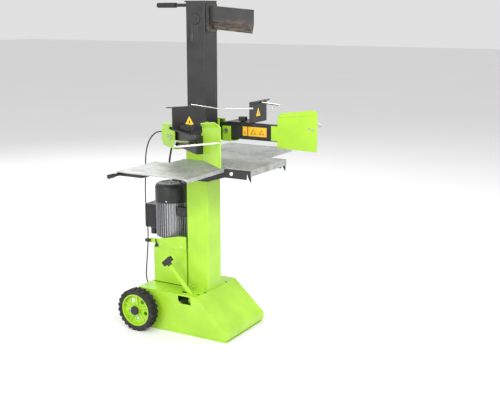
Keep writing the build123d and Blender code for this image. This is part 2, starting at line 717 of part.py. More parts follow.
def claw(plate_ahead, out0, out1, flange_ahead, flange_out0, flange_out1, studs):
    """Bent sheet claw: an upright plate across the arm, a slotted flange on the arm and a toothed top."""
    sheet = CLAW_SHEET
    z0 = FLANGE_Z
    plate = arm_block(out0, out1, plate_ahead - sheet / 2, plate_ahead + sheet / 2, z0, CLAW_TOP)
    flange = flat_plate([
        (ax(out0), ay(plate_ahead)), (ax(out1), ay(plate_ahead)), (ax(flange_out1), ay(flange_ahead)),
        (ax(flange_out0), ay(flange_ahead)),
    ], z0, z0 + sheet)
    for ahead in studs:
        mid = (ARM_IN + ARM_OUT) / 2
        reach = SLOT_REACH if out0 < 0 else -SLOT_REACH
        low, high = sorted((mid, mid - reach))
        slot = arm_block(low, high, ahead - STUD_R - 0.4, ahead + STUD_R + 0.4, z0 - 1, z0 + sheet + 1)
        for end in (low, high):
            slot += Pos(ax(end), ay(ahead), z0 + 2) * Cylinder(STUD_R + 0.4, sheet + 2)
        flange -= slot
    # top: a short flange backwards, a pointed tooth outwards and a flat tab inwards
    back = -18.0 if flange_ahead > plate_ahead else 18.0
    near_a, far_a = sorted((plate_ahead, plate_ahead + back))
    top = arm_block(out0 + 6, out1 - 8, near_a, far_a, CLAW_TOP - sheet, CLAW_TOP)
    tooth = flat_plate([(ax(out1 - 24), ay(plate_ahead)), (ax(out1 - 24), ay(plate_ahead + back)),
                        (ax(out1 + 24), ay(plate_ahead + back * 0.35)), (ax(out1 + 24), ay(plate_ahead))],
                       CLAW_TOP - sheet, CLAW_TOP)
    return plate + flange + top + tooth


def slot_stud(ahead):
    """Threaded stud welded on the arm, on which a claw's flange slides."""
    mid = (ARM_IN + ARM_OUT) / 2
    return Pos(ax(mid), ay(ahead), ARM_TOP + 9) * Cylinder(STUD_R, 20)


def star_knob(ahead):
    """Six-lobed clamping knob with a metal collar."""
    mid = (ARM_IN + ARM_OUT) / 2
    z0 = FLANGE_Z + CLAW_SHEET + 0.3
    collar = Pos(0, 0, 2) * Cylinder(9, 4)
    head = Pos(0, 0, 13) * Cylinder(15, 18)
    for turn in range(0, 360, 60):
        head += Rot(0, 0, turn) * (Pos(14, 0, 13) * Cylinder(6, 18))
    head = head + collar
    head -= Pos(0, 0, 2) * Cylinder(STUD_R + RUN_GAP, 30)
    return Pos(ax(mid), ay(ahead), z0) * head


def claw_wire(points, z):
    """Bent retaining wire on top of a claw: forward, then in across the log."""
    path = [(ax(out), ay(ahead), z) for ahead, out in points]
    return bent_rod(path, WIRE_R, 14.0)


NEAR_CLAW = dict(plate_ahead=265, out0=-42, out1=106, flange_ahead=405, flange_out0=6, flange_out1=100,
                 studs=(308, 360))
FAR_CLAW = dict(plate_ahead=338, out0=34, out1=188, flange_ahead=214, flange_out0=44, flange_out1=146,
                studs=(285,))
NEAR_WIRE = [(250, 12), (424, -38), (480, -172)]
FAR_WIRE = [(341, 114), (488, 46), (503, -60)]
NEAR_WIRE_Z = CLAW_TOP + WIRE_R
FAR_WIRE_Z = CLAW_TOP - CLAW_SHEET - WIRE_R


# ---------------------------------------------------------------- lever in the base

LEVER_LEAN = 42.0
LEVER_PIN_R = 6.0
LEVER_PIVOT_Z = 168.0
LEVER_LENGTH = 186.0


def lever_place():
    return Pos(LEVER_X, LEVER_Y, LEVER_PIVOT_Z) * Rot(-LEVER_LEAN, 0, 0)


def foot_lever():
    """Green lever hinged under the base's top, leaning back."""
    body = Pos(0, 0, LEVER_LENGTH / 2) * Box(14, 18, LEVER_LENGTH)
    body = fillet(body.edges().filter_by(Axis.Z), 3.0)
    body += Rot(0, 90, 0) * Cylinder(14, 14)
    body += Rot(0, 90, 0) * Cylinder(LEVER_PIN_R - RUN_GAP, 30)
    return lever_place() * body


def lever_pad():
    stem = Pos(0, 0, LEVER_LENGTH + 6) * Cylinder(11, 12)
    head = Pos(0, 0, LEVER_LENGTH + 24) * Box(26, 52, 24)
    head = fillet(head.edges(), 4.0)
    return lever_place() * (stem + head)


def lever_bracket():
    """Two ears under the base's top for the lever's pin, joined below."""
    ears = Pos(0, 0, -19) * Box(29, 34, 6)
    for side in (-1, 1):
        ears += Pos(side * 11.5, 0, 1) * Box(6, 34, 36)
    ears -= Rot(0, 90, 0) * Cylinder(LEVER_PIN_R, 60)
    return Pos(LEVER_X, LEVER_Y, LEVER_PIVOT_Z) * ears


# ---------------------------------------------------------------- cables

LEAD_R = 4.5
CONTROL_R = 3.0
CONTROL_POINTS = [
    (-52, 150, 905), (-62, 176, 918), (-70, 208, 915), (-76, 238, 888), (-79, 258, 845), (-79, 268, 790),
    (-77, 271, 730), (-75, 276, 670), (-73, 279, 612), (-73, 277, 552), (-71, 273, 494), (-69, 272, 436),
    (-69, 274, 378), (-70, 279, 320), (-70, 285, 264), (-70, 289, 216), (-70, 283, 178), (-70, 258, 156),
]
LEAD_POINTS = [
    (-42, 144, 866), (-42, 146, 836), (-46, 152, 804), (-51, 154, 770), (-52, 147, 736), (-47, 130, 706),
    (-38, 106, 688), (-30, 86, 662), (-25, 79, 630), (-23, 77, 596), (-23, 77, 562),
]


def cord_radii(points):
    """The largest tangent arc that each corner's two runs allow."""
    radii = []
    for before, corner, after in zip(points, points[1:], points[2:]):
        run_in = Vector(*corner) - Vector(*before)
        run_out = Vector(*after) - Vector(*corner)
        half_turn = radians(run_in.get_angle(run_out)) / 2
        radii.append(0.45 * min(run_in.length, run_out.length) / tan(half_turn))
    return radii


def cord(points, radius, name):
    radii = cord_radii(points)
    line = FilletPolyline(*points, radius=radii)
    tube = sweep(Plane(origin=line @ 0, z_dir=line % 0) * Circle(radius), path=line)
    print(name, "length", round(line.length, 1), "least radius", round(min(radii), 1))
    return tube


def gland(end, way, bore, radius, length):
    """A ribbed strain relief round a cable's end."""
    end = Vector(end)
    way = Vector(way).normalized()
    body = rod(end - way * 6, end + way * 6, radius + 3) + rod(end + way * 6, end + way * length, radius)
    return body - rod(end - way * 20, end + way * (length + 5), bore)


def cable_fittings():
    """Glands at the four cable ends and the clip on the motor mount's ear."""
    control_in = gland(CONTROL_POINTS[0], (-10, 26, 13), CONTROL_R, 6.0, 16)
    control_in -= block(-80, -20, PIN_Y, PIN_Y + 18, 860, 960)
    rear_out = Vector(*CONTROL_POINTS[-2]) - Vector(*CONTROL_POINTS[-1])
    control_out = gland(Vector(*CONTROL_POINTS[-1]) + rear_out * 0.42, rear_out, CONTROL_R, 6.0, 12)
    control_out -= block(-90, -50, 200, BASE_REAR, 100, 200)
    lead_in = gland(LEAD_POINTS[0], Vector(*LEAD_POINTS[1]) - Vector(*LEAD_POINTS[0]), LEAD_R, 8.0, 20)
    lead_in -= block(-80, 0, PIN_Y, PIN_Y + 30, 870, 900)
    lead_out = block(-35, -11, 67, 130, 520, 562)
    lead_out -= Pos(MOTOR_X, MOTOR_Y, 500) * Cylinder(MOTOR_R - 0.4, 300)
    clip = block(-76, -63, 262, 286, 384, 398)
    clip -= rod((-69.2, 273.2, 420), (-69.2, 273.2, 360), CONTROL_R + 1.5)
    return [control_in, lead_in, lead_out, clip]


# ---------------------------------------------------------------- all nodes

save(bolted(base_shell()), "base_shell")
save(axle(), "axle")
for label, side in (("near", -1), ("far", 1)):
    save(tyre(side), f"{label}_tyre")
    save(rim(side), f"{label}_rim")
    save(hub_caps(side), f"{label}_hub_cap")
save(bolted(column_tube()), "column_tube")
save(panel_bolts(), "panel_bolts")
save(guide_pads(), "guide_pads")
save(cylinder_barrel(), "cylinder_barrel")
save(ram_tube(), "ram_tube")
save(side_plug(), "side_plug")
save(wedge(), "wedge")
save(transport_handle(), "transport_handle")
save(piston_rod(), "piston_rod")
save(tank_shell(), "tank_shell")
save(bolted(motor_mount()), "motor_mount")
save(motor_barrel(), "motor_barrel")
save(fan_cover(), "fan_cover")
save(motor_rotor(), "motor_rotor")
save(cooling_fan(), "cooling_fan")
save(pump_body(), "pump_body")
save(valve_block(), "valve_block")
save(valve_spool(), "valve_spool")
save(oil_plug(), "oil_plug")
save(switch_box(), "switch_box")
save(push_button(-BUTTON_X), "start_button")
save(push_button(BUTTON_X), "stop_button")
save(table_centre(), "table_centre")
save(table_wings(), "table_wings")
save(bolted(table_frame()), "table_frame")
save(support_bars(), "support_bars")
save(arm_yoke(), "arm_yoke")
save(hinge_pins(), "hinge_pins")
save(foot_lever(), "lever")
save(lever_pad(), "lever_pad")
save(cord(CONTROL_POINTS, CONTROL_R, "control_cable"), "control_cable")
save(cord(LEAD_POINTS, LEAD_R, "motor_lead"), "motor_lead")
save(cable_fittings(), "cable_fittings")

for label, swung in (("near", near_side), ("far", lambda shape: shape)):
    claw_spec = NEAR_CLAW if label == "near" else FAR_CLAW
    wire_path = NEAR_WIRE if label == "near" else FAR_WIRE
    wire_z = NEAR_WIRE_Z if label == "near" else FAR_WIRE_Z
    whole_arm = arm()
    for ahead in claw_spec["studs"]:
        whole_arm += slot_stud(ahead)
    save(swung(carrier()), f"{label}_carrier")
    save([swung(piece) for piece in tilt_bolt()], f"{label}_tilt_bolt")
    save(swung(whole_arm), f"{label}_arm")
    save(swung(guard()), f"{label}_guard")
    save([swung(piece) for piece in hoop()], f"{label}_hoop")
    save(swung(grip()), f"{label}_grip")
    bent_claw = claw(**claw_spec)
    save(swung(bent_claw), f"{label}_claw")
    save(swung(claw_wire(wire_path, wire_z) - bent_claw), f"{label}_claw_wire")
    for number, ahead in enumerate(claw_spec["studs"], 1):
        save(swung(star_knob(ahead)), f"{label}_knob_{number}")
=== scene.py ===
import json
import math

import bpy
from mathutils import Matrix, Vector


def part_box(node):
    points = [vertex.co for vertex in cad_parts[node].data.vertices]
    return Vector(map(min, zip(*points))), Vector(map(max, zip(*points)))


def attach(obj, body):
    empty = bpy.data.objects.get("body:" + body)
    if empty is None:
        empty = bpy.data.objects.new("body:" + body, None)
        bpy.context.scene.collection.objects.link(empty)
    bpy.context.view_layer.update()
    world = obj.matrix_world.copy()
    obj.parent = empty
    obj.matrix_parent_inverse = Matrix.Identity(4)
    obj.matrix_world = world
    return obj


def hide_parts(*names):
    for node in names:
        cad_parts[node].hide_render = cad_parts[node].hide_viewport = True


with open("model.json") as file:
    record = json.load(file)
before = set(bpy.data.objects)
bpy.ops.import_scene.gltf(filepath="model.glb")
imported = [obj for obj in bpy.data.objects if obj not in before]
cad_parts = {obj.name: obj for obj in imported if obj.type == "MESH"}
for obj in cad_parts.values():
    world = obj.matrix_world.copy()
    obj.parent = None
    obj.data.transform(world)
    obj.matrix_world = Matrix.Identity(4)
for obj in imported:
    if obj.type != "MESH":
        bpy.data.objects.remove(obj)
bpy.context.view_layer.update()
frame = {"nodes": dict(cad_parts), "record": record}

NODES = frame["nodes"]
MM = 0.001

# The log side faces -Y and the near side is -X. Places that no CAD node gives are in millimetres.
# The arms hang on upright pins behind the column, and the near arm stands swung out from straight ahead.
PIN_X = 30.0
PIN_Y = 130.0
NEAR_SWING = math.radians(36.0)
ARM_INNER = 50.0
BASE_TOP = 190.0
FOOT_WELD_Z = 196.5
RAM_FACE = -50.0
WEDGE_PLATE_H = 118.0


# ---------------------------------------------------------------- materials

class Shader:
    """A Principled material with a short way to add and link nodes."""

    def __init__(self, name):
        self.material = bpy.data.materials.new(name)
        self.material.use_nodes = True
        self.tree = self.material.node_tree
        self.surface = self.tree.nodes["Principled BSDF"]
        self.place = self.add("ShaderNodeTexCoord").outputs["Object"]

    def add(self, kind, **settings):
        node = self.tree.nodes.new(kind)
        for key, value in settings.items():
            setattr(node, key, value)
        return node

    def link(self, source, target):
        self.tree.links.new(source, target)

    def stretched(self, scale):
        """The object's coordinates, stretched by a scale along each axis."""
        mapping = self.add("ShaderNodeMapping")
        mapping.inputs["Scale"].default_value = scale
        self.link(self.place, mapping.inputs["Vector"])
        return mapping.outputs["Vector"]

    def noise(self, scale, detail=3.0, rough=0.5, place=None):
        """Cloudy noise from 0 to 1, with scale in features per metre."""
        node = self.add("ShaderNodeTexNoise")
        node.inputs["Scale"].default_value = scale
        node.inputs["Detail"].default_value = detail
        node.inputs["Roughness"].default_value = rough
        self.link(place or self.place, node.inputs["Vector"])
        return node.outputs["Fac"]

    def cells(self, scale, output="Distance"):
        """Voronoi cells: the distance to a cell's centre, or its random colour."""
        node = self.add("ShaderNodeTexVoronoi", feature="F1")
        node.inputs["Scale"].default_value = scale
        self.link(self.place, node.inputs["Vector"])
        return node.outputs[output]

    def span(self, value, low, high, to_low=0.0, to_high=1.0):
        """Remap a value from one span to another, held at the ends."""
        node = self.add("ShaderNodeMapRange")
        self.link(value, node.inputs["Value"])
        for key, number in (("From Min", low), ("From Max", high), ("To Min", to_low), ("To Max", to_high)):
            node.inputs[key].default_value = number
        return node.outputs["Result"]

    def math(self, operation, first, second):
        """A sum or product of two values, each a number or a socket."""
        node = self.add("ShaderNodeMath", operation=operation)
        for socket, value in zip(node.inputs, (first, second)):
            if isinstance(value, (int, float)):
                socket.default_value = value
            else:
                self.link(value, socket)
        return node.outputs["Value"]

    def mix(self, mask, first, second):
        """Blend two colours, each a colour or a socket."""
        node = self.add("ShaderNodeMix", data_type="RGBA")
        self.link(mask, node.inputs["Factor"])
        for key, value in ((6, first), (7, second)):
            if isinstance(value, tuple):
                node.inputs[key].default_value = (*value, 1.0)
            else:
                self.link(value, node.inputs[key])
        return node.outputs[2]

    def height(self):
        """Z of the point, in metres."""
        node = self.add("ShaderNodeSeparateXYZ")
        self.link(self.place, node.inputs["Vector"])
        return node.outputs["Z"]

    def soft_edges(self, radius):
        """A normal that rounds the mesh's sharp edges."""
        node = self.add("ShaderNodeBevel", samples=4)
        node.inputs["Radius"].default_value = radius
        return node.outputs["Normal"]

    def edge_mask(self, radius, wear):
        """1 along the outer edges, broken up by noise."""
        geometry = self.add("ShaderNodeNewGeometry")
        dot = self.add("ShaderNodeVectorMath", operation="DOT_PRODUCT")
        self.link(self.soft_edges(radius), dot.inputs[0])
        self.link(geometry.outputs["Normal"], dot.inputs[1])
        turned = self.span(dot.outputs["Value"], 0.97, 0.80)
        worn = self.span(self.noise(55.0, 6.0, 0.7), 0.62 - wear, 0.70 - wear)
        return self.math("MULTIPLY", turned, worn)

    def bump(self, value, distance, strength, radius=0.0012):
        """Relief from a value, over edges rounded to a radius in metres."""
        node = self.add("ShaderNodeBump")
        node.inputs["Strength"].default_value = strength
        node.inputs["Distance"].default_value = distance
        self.link(value, node.inputs["Height"])
        if radius:
            self.link(self.soft_edges(radius), node.inputs["Normal"])
        self.link(node.outputs["Normal"], self.surface.inputs["Normal"])

    def finish(self, colour, rough, metallic=0.0, specular=0.5, coat=0.0):
        """Set the surface, where colour and roughness are each a value or a socket."""
        if isinstance(colour, tuple):
            self.surface.inputs["Base Color"].default_value = (*colour, 1.0)
        else:
            self.link(colour, self.surface.inputs["Base Color"])
        if isinstance(rough, float):
            self.surface.inputs["Roughness"].default_value = rough
        else:
            self.link(rough, self.surface.inputs["Roughness"])
        self.surface.inputs["Metallic"].default_value = metallic
        self.surface.inputs["Specular IOR Level"].default_value = specular
        self.surface.inputs["Coat Weight"].default_value = coat
        self.surface.inputs["Coat Roughness"].default_value = 0.2
        return self.material


GREEN = (0.36, 0.62, 0.028)
GREEN_DEEP = (0.27, 0.50, 0.020)
DUST = (0.42, 0.36, 0.25)
BARE_STEEL = (0.33, 0.32, 0.30)


def painted(name, colour, deep, rough, wear):
    """Powder coat: slight colour drift, orange peel, dust low down and edges worn to the steel."""
    s = Shader(name)
    drift = s.span(s.noise(7.0, 4.0), 0.3, 0.7)
    tone = s.mix(drift, deep, colour)
    dusty = s.span(s.noise(30.0, 8.0, 0.65), 0.52, 0.80, 0.0, 0.30)
    low = s.span(s.height(), 0.30, 0.0, 0.25, 1.0)
    tone = s.mix(s.math("MULTIPLY", dusty, low), tone, DUST)
    tone = s.mix(s.edge_mask(0.0012, wear), tone, BARE_STEEL)
    s.bump(s.noise(650.0, 2.0), 0.00012, 0.35)
    shine = s.span(s.noise(18.0, 5.0), 0.3, 0.7, rough - 0.06, rough + 0.10)
    return s.finish(tone, shine, specular=0.5, coat=0.15)


def scuffed_black(name, scuffs):
    """Satin black paint with fine upright rub marks and greyish worn edges."""
    s = Shader(name)
    tone = s.mix(s.span(s.noise(9.0, 5.0), 0.3, 0.7), (0.010, 0.010, 0.011), (0.022, 0.021, 0.020))
    streak = s.noise(240.0, 3.0, 0.6, s.stretched((1.0, 1.0, 0.02)))
    patch = s.span(s.noise(8.0, 4.0), 0.48, 0.66)
    rubbed = s.math("MULTIPLY", s.span(streak, 0.56, 0.68, 0.0, scuffs), patch)
    tone = s.mix(rubbed, tone, (0.12, 0.11, 0.10))
    tone = s.mix(s.edge_mask(0.0015, 0.06), tone, (0.20, 0.19, 0.18))
    s.bump(s.noise(800.0, 2.0), 0.0001, 0.3)
    return s.finish(tone, s.span(s.noise(20.0, 5.0), 0.3, 0.7, 0.30, 0.46), specular=0.5)


def wedge_black():
    """The wedge's black paint, rubbed and brown with resin over its taper."""
    s = Shader("wedge_paint")
    tone = s.mix(s.span(s.noise(14.0, 5.0), 0.3, 0.7), (0.012, 0.012, 0.013), (0.030, 0.028, 0.026))
    taper = s.span(s.height(), 1.425, 1.385)
    rub = s.noise(120.0, 6.0, 0.7, s.stretched((1.0, 0.25, 1.0)))
    steel = s.math("MULTIPLY", taper, s.span(rub, 0.46, 0.62, 0.0, 0.8))
    tone = s.mix(steel, tone, (0.17, 0.13, 0.09))
    resin = s.math("MULTIPLY", taper, s.span(s.noise(34.0, 6.0, 0.6), 0.5, 0.7, 0.0, 0.6))
    tone = s.mix(resin, tone, (0.11, 0.045, 0.012))
    tone = s.mix(s.edge_mask(0.0015, 0.12), tone, (0.30, 0.28, 0.26))
    s.bump(rub, 0.0002, 0.4)
    return s.finish(tone, s.span(rub, 0.3, 0.7, 0.32, 0.52))


def galvanised():
    """Zinc-coated sheet: faint spangle, rolling streaks, dark nicks and brown stains here and there."""
    s = Shader("galvanised_sheet")
    spangle = s.cells(55.0, output="Color")
    grey = s.add("ShaderNodeRGBToBW")
    s.link(spangle, grey.inputs["Color"])
    tone = s.mix(s.span(grey.outputs["Val"], 0.2, 0.8), (0.31, 0.32, 0.31), (0.41, 0.42, 0.40))
    streak = s.noise(60.0, 5.0, 0.6, s.stretched((1.0, 0.06, 1.0)))
    tone = s.mix(s.span(streak, 0.45, 0.75, 0.0, 0.5), tone, (0.22, 0.225, 0.22))
    nick = s.span(s.cells(46.0), 0.16, 0.09)
    chosen = s.span(s.noise(23.0, 2.0), 0.53, 0.57)
    tone = s.mix(s.math("MULTIPLY", nick, chosen), tone, (0.035, 0.03, 0.025))
    stain = s.span(s.noise(11.0, 6.0, 0.6), 0.52, 0.72, 0.0, 0.55)
    tone = s.mix(stain, tone, (0.16, 0.13, 0.09))
    s.bump(s.noise(90.0, 6.0, 0.6), 0.0004, 0.35)
    return s.finish(tone, s.span(s.noise(26.0, 5.0), 0.3, 0.7, 0.34, 0.55), metallic=0.35)


def metal(name, tone, dark, rough, grain, stretch=(1.0, 1.0, 1.0), bump=0.00006):
    """Bare or plated metal with a fine directional grain and a few darker patches."""
    s = Shader(name)
    lines = s.noise(grain, 4.0, 0.6, s.stretched(stretch))
    colour = s.mix(s.span(lines, 0.35, 0.7), tone, dark)
    spots = s.span(s.noise(40.0, 6.0, 0.7), 0.60, 0.72, 0.0, 0.5)
    colour = s.mix(spots, colour, dark)
    s.bump(lines, bump, 0.5, radius=0.0006)
    return s.finish(colour, s.span(s.noise(30.0, 4.0), 0.3, 0.7, rough - 0.05, rough + 0.10), metallic=1.0)


def cast_housing():
    """Extruded aluminium ribs with a dull skin, and painted shade that darkens the colour between them."""
    s = Shader("cast_aluminium")
    tone = s.mix(s.span(s.noise(90.0, 5.0), 0.35, 0.7), (0.52, 0.53, 0.55), (0.38, 0.39, 0.41))
    occlusion = s.add("ShaderNodeAmbientOcclusion", samples=4, inside=False)
    occlusion.inputs["Distance"].default_value = 0.012
    # Painted shade: ambient occlusion darkens the colour to near black in the hollows between the ribs.
    tone = s.mix(s.span(occlusion.outputs["AO"], 0.15, 0.75), (0.10, 0.10, 0.11), tone)
    s.bump(s.noise(700.0, 3.0), 0.0001, 0.5, radius=0.0005)
    return s.finish(tone, s.span(s.noise(60.0, 4.0), 0.3, 0.7, 0.34, 0.50), metallic=0.75)


def moulded(name, colour, pale, rough, grain=1400.0, depth=0.00012):
    """Grained plastic or rubber with dust caught on it and paler edges."""
    s = Shader(name)
    tone = s.mix(s.span(s.noise(12.0, 4.0), 0.3, 0.7), colour, tuple(c * 0.8 for c in colour))
    dusty = s.span(s.noise(45.0, 8.0, 0.7), 0.50, 0.78, 0.0, 0.28)
    tone = s.mix(dusty, tone, pale)
    tone = s.mix(s.edge_mask(0.0012, 0.02), tone, pale)
    s.bump(s.cells(grain), depth, 0.5)
    return s.finish(tone, s.span(s.noise(22.0, 5.0), 0.3, 0.7, rough - 0.07, rough + 0.08), specular=0.4)


def tyre_rubber():
    """Matt black rubber with dust in its grain."""
    s = Shader("tyre_rubber")
    tone = s.mix(s.span(s.noise(20.0, 6.0, 0.6), 0.4, 0.7), (0.012, 0.012, 0.013), (0.032, 0.030, 0.028))
    dusty = s.span(s.noise(60.0, 8.0, 0.75), 0.50, 0.72, 0.0, 0.40)
    tone = s.mix(dusty, tone, (0.10, 0.09, 0.075))
    s.bump(s.noise(420.0, 5.0, 0.6), 0.0003, 0.6)
    return s.finish(tone, s.span(s.noise(30.0, 5.0), 0.3, 0.7, 0.62, 0.82), specular=0.3)


def printed(name, colour):
    """A label's film, slightly scratched and faded."""
    s = Shader(name)
    tone = s.mix(s.span(s.noise(60.0, 5.0), 0.35, 0.7), colour, tuple(c * 0.86 for c in colour))
    scratch = s.noise(500.0, 3.0, 0.6, s.stretched((1.0, 1.0, 0.1)))
    tone = s.mix(s.span(scratch, 0.66, 0.72, 0.0, 0.35), tone, (0.5, 0.5, 0.48))
    s.bump(s.noise(300.0, 3.0), 0.00005, 0.3, radius=0.0)
    return s.finish(tone, 0.38, coat=0.2)


def weld_metal(name, colour, dark):
    """Paint over the uneven skin of a weld."""
    s = Shader(name)
    tone = s.mix(s.span(s.noise(180.0, 5.0), 0.35, 0.7), colour, dark)
    s.bump(s.noise(420.0, 4.0), 0.0003, 0.6, radius=0.0)
    return s.finish(tone, 0.42)


PAINT = painted("green_paint", GREEN, GREEN_DEEP, 0.36, 0.05)
BLACK = scuffed_black("black_paint", 0.35)
RAM_BLACK = scuffed_black("ram_paint", 0.75)
PLASTIC = moulded("black_plastic", (0.020, 0.020, 0.022), (0.11, 0.105, 0.10), 0.42)
RUBBER = moulded("grip_rubber", (0.016, 0.016, 0.017), (0.09, 0.085, 0.08), 0.62, 900.0, 0.0003)
CABLE = moulded("cable_rubber", (0.018, 0.018, 0.019), (0.08, 0.078, 0.072), 0.5, 1800.0)
ZINC = metal("zinc_steel", (0.80, 0.80, 0.79), (0.55, 0.54, 0.50), 0.24, 400.0)
BY_SLOT = {
    "green_paint": PAINT,
    "black_paint": BLACK,
    "galvanised": galvanised(),
    "zinc_steel": ZINC,
    "machined_steel": metal("machined_steel", (0.60, 0.60, 0.61), (0.40, 0.40, 0.40), 0.25, 900.0,
                            stretch=(1.0, 1.0, 6.0)),
    "chrome_rod": metal("chrome_rod", (0.86, 0.87, 0.88), (0.70, 0.71, 0.72), 0.12, 1200.0,
                        stretch=(1.0, 1.0, 8.0)),
    "aluminium": cast_housing(),
    "black_plastic": PLASTIC,
    "green_plastic": moulded("green_plastic", GREEN, (0.46, 0.62, 0.16), 0.34),
    "rubber": RUBBER,
    "tyre": tyre_rubber(),
    "cable_rubber": CABLE,
    "cast_iron": metal("cast_iron", (0.16, 0.16, 0.17), (0.08, 0.08, 0.08), 0.58, 160.0, bump=0.0004),
    "nylon": moulded("nylon", (0.70, 0.69, 0.63), (0.60, 0.58, 0.50), 0.45),
    "green_button": moulded("green_button", (0.03, 0.36, 0.07), (0.10, 0.45, 0.14), 0.3),
    "red_button": moulded("red_button", (0.55, 0.02, 0.015), (0.62, 0.12, 0.10), 0.3),
}
BY_NODE = {"ram_tube": RAM_BLACK, "wedge": wedge_black()}
SLOT_OF = {entry["node"]: entry["material_slot"] for entry in frame["record"]["subparts"]}

for node, piece in NODES.items():
    piece.data.materials.clear()
    piece.data.materials.append(BY_NODE.get(node, BY_SLOT[SLOT_OF[node]]))


# ---------------------------------------------------------------- mesh helpers

def add_piece(name, verts, faces, material, body, smooth=False):
    """A mesh piece in the row frame, from points in millimetres."""
    mesh = bpy.data.meshes.new(name)
    mesh.from_pydata([Vector(v) * MM for v in verts], [], faces)
    mesh.update()
    mesh.materials.append(material)
    for face in mesh.polygons:
        face.use_smooth = smooth
    piece = bpy.data.objects.new(name, mesh)
    bpy.context.scene.collection.objects.link(piece)
    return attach(piece, body)


def arm_point(side, ahead, out, z):
    """A point given from an arm's hinge pin, on the arm as it stands at rest."""
    if side == "far":
        return (PIN_X + out, PIN_Y - ahead, z)
    c, s = math.cos(NEAR_SWING), math.sin(NEAR_SWING)
    return (-PIN_X - ahead * s - out * c, PIN_Y - ahead * c + out * s, z)


def rounded(points, radius, steps=4):
    """A closed outline with its corners rounded off."""
    out = []
    count = len(points)
    for i, corner in enumerate(points):
        corner = Vector(corner)
        back = (Vector(points[i - 1]) - corner).normalized()
        ahead = (Vector(points[(i + 1) % count]) - corner).normalized()
        start, end = corner + back * radius, corner + ahead * radius
        for k in range(steps + 1):
            t = k / steps
            out.append(start * (1 - t) ** 2 + corner * 2 * t * (1 - t) + end * t ** 2)
    return out


def sticker(name, outline, place, lift, thick, material, body, slot):
    """A thin flat piece, where place turns (u, v, height) into a point in millimetres."""
    low = [place(p[0], p[1], lift) for p in outline]
    high = [place(p[0], p[1], lift + thick) for p in outline]
    n = len(outline)
    faces = [tuple(range(n - 1, -1, -1)), tuple(range(n, 2 * n))]
    faces += [(i, (i + 1) % n, n + (i + 1) % n, n + i) for i in range(n)]
    return add_piece(name, low + high, faces, material, body)


def bead(name, start, end, radius, material, body):
    """A weld bead with overlapping ripples, from one point to another."""
    start, end = Vector(start), Vector(end)
    way = end - start
    length = way.length
    way.normalize()
    no_bead_runs = Vector((0.31, 0.22, 0.93))
    side = way.cross(no_bead_runs).normalized()
    up = side.cross(way)
    pitch, sides, steps = 4.0, 10, 5
    rings = max(int(length / pitch * steps), 8)
    verts = []
    for i in range(rings + 1):
        t = i / rings
        ripple = (t * length / pitch) % 1.0
        taper = min(1.0, 6.0 * t + 0.3, 6.0 * (1 - t) + 0.3)
        r = radius * taper * (0.80 + 0.20 * math.sin(math.pi * ripple) ** 0.5)
        wander = radius * 0.12 * math.sin(i * 0.37)
        for k in range(sides):
            a = math.tau * k / sides
            across = side * (math.cos(a) * r + wander) + up * math.sin(a) * r
            verts.append(start + way * (t * length) + across)
    faces = []
    for i in range(rings):
        for k in range(sides):
            a, b = i * sides + k, i * sides + (k + 1) % sides
            faces.append((a, b, b + sides, a + sides))
    faces += [tuple(range(sides - 1, -1, -1)), tuple(range(rings * sides, (rings + 1) * sides))]
    return add_piece(name, verts, faces, material, body, smooth=True)


def turned(name, profile, place, material, body, slot, sides=32):
    """A solid of revolution from (radius, height) pairs, which the matrix place puts on the object."""
    verts = [place @ Vector((0.0, 0.0, profile[0][1]))]
    for radius, height in profile:
        for k in range(sides):
            a = math.tau * k / sides
            verts.append(place @ Vector((radius * math.cos(a), radius * math.sin(a), height)))
    verts.append(place @ Vector((0.0, 0.0, profile[-1][1])))
    faces = [(0, 1 + (k + 1) % sides, 1 + k) for k in range(sides)]
    for i in range(len(profile) - 1):
        for k in range(sides):
            a = 1 + i * sides + k
            b = 1 + i * sides + (k + 1) % sides
            faces.append((a, b, b + sides, a + sides))
    last = len(verts) - 1
    ring = last - sides
    faces += [(last, ring + k, ring + (k + 1) % sides) for k in range(sides)]
    return add_piece(name, verts, faces, material, body, smooth=True)


# ---------------------------------------------------------------- cables

CONTROL_D, CONTROL_LENGTH = 0.006, 0.851
LEAD_D, LEAD_LENGTH = 0.009, 0.331
CONTROL_POINTS = [
    (-52, 150, 905), (-62, 176, 918), (-70, 208, 915), (-76, 238, 888), (-79, 258, 845), (-79, 268, 790),
    (-77, 271, 730), (-75, 276, 670), (-73, 279, 612), (-73, 277, 552), (-71, 273, 494), (-69, 272, 436),
    (-69, 274, 378), (-70, 279, 320), (-70, 285, 264), (-70, 289, 216), (-70, 283, 178), (-70, 258, 156),
]
LEAD_POINTS = [
    (-42, 144, 866), (-42, 146, 836), (-46, 152, 804), (-51, 154, 770), (-52, 147, 736), (-47, 130, 706),
    (-38, 106, 688), (-30, 86, 662), (-25, 79, 630), (-23, 77, 596), (-23, 77, 562),
]


def free_cable(name, points, diameter, node):
    """A smooth cable through the same control points as the CAD tube that it stands for."""
    curve = bpy.data.curves.new(name, "CURVE")
    curve.dimensions = "3D"
    curve.resolution_u = 10
    curve.bevel_depth = diameter / 2
    curve.bevel_resolution = 5
    curve.use_fill_caps = True
    spline = curve.splines.new("NURBS")
    spline.points.add(len(points) - 1)
    for point, at in zip(spline.points, points):
        point.co = (*(Vector(at) * MM), 1.0)
    spline.order_u = 3
    spline.use_endpoint_u = True
    curve.materials.append(CABLE)
    piece = bpy.data.objects.new(name, curve)
    bpy.context.scene.collection.objects.link(piece)
    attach(piece, "root")
    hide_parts(node)
    return piece


free_cable("push_pull_cable", CONTROL_POINTS, CONTROL_D, "control_cable")
free_cable("motor_cable", LEAD_POINTS, LEAD_D, "motor_lead")


# ---------------------------------------------------------------- labels

YELLOW = printed("label_yellow", (0.83, 0.56, 0.02))
AMBER = printed("label_amber", (0.85, 0.45, 0.015))
INK = printed("label_ink", (0.02, 0.02, 0.02))

